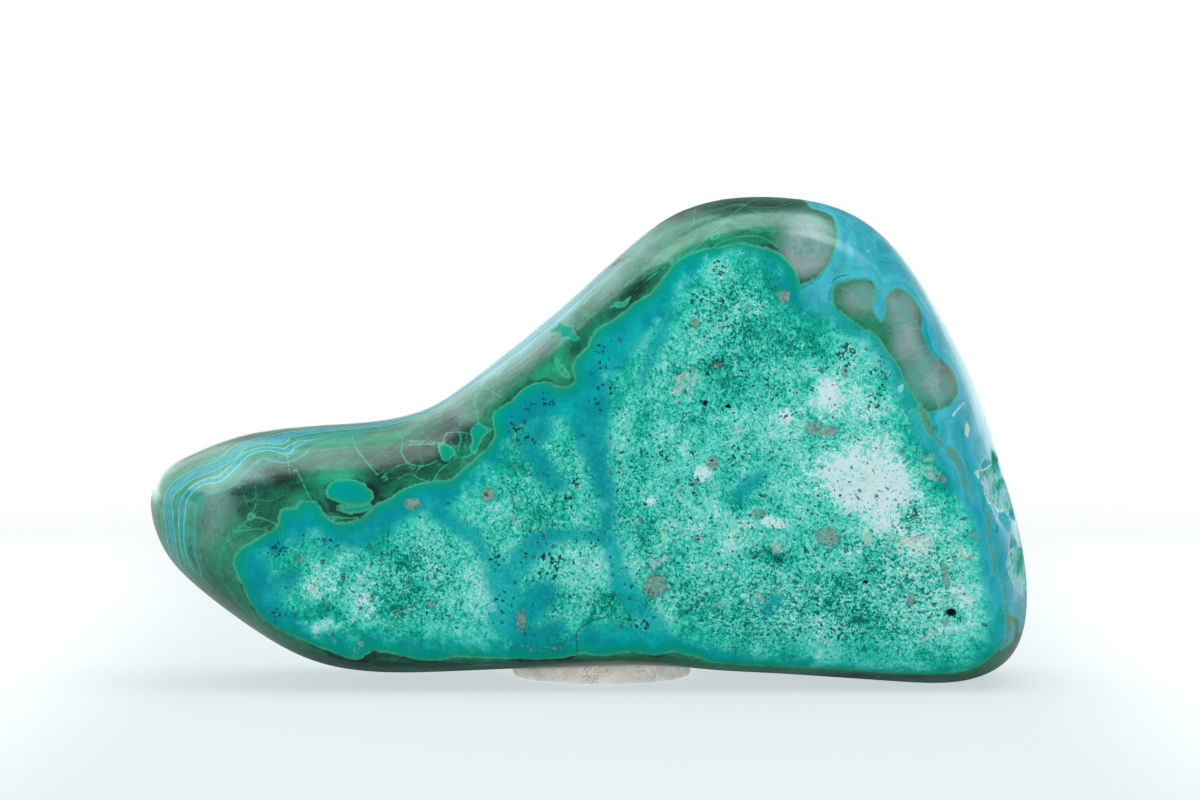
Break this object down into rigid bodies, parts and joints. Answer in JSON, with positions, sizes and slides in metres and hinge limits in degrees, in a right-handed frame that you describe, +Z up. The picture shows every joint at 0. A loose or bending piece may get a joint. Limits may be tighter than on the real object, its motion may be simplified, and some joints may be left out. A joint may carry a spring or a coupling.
{
  "type": "polished chrysocolla and malachite freeform",
  "caption": "Polished freeform stone with a long low toe and a tall hump, a ground turquoise face and a banded dark green rim, standing on edge on a pressed pad of putty.",
  "frame": {"origin": "on the surface that the stone stands on, under the middle of the bounding box", "axes": "+X along the stone from its low toe to its tall heel, -Y out of the ground face, +Z up"},
  "size_m": [0.1256, 0.0397, 0.0692],
  "materials": {
    "polished_stone": "polished, with a finely ground face",
    "putty": "matte putty"
  },
  "bodies": {
    "root": {"chrysocolla_stone": "polished_stone", "putty_pad": "putty"}
  },
  "joints": []
}
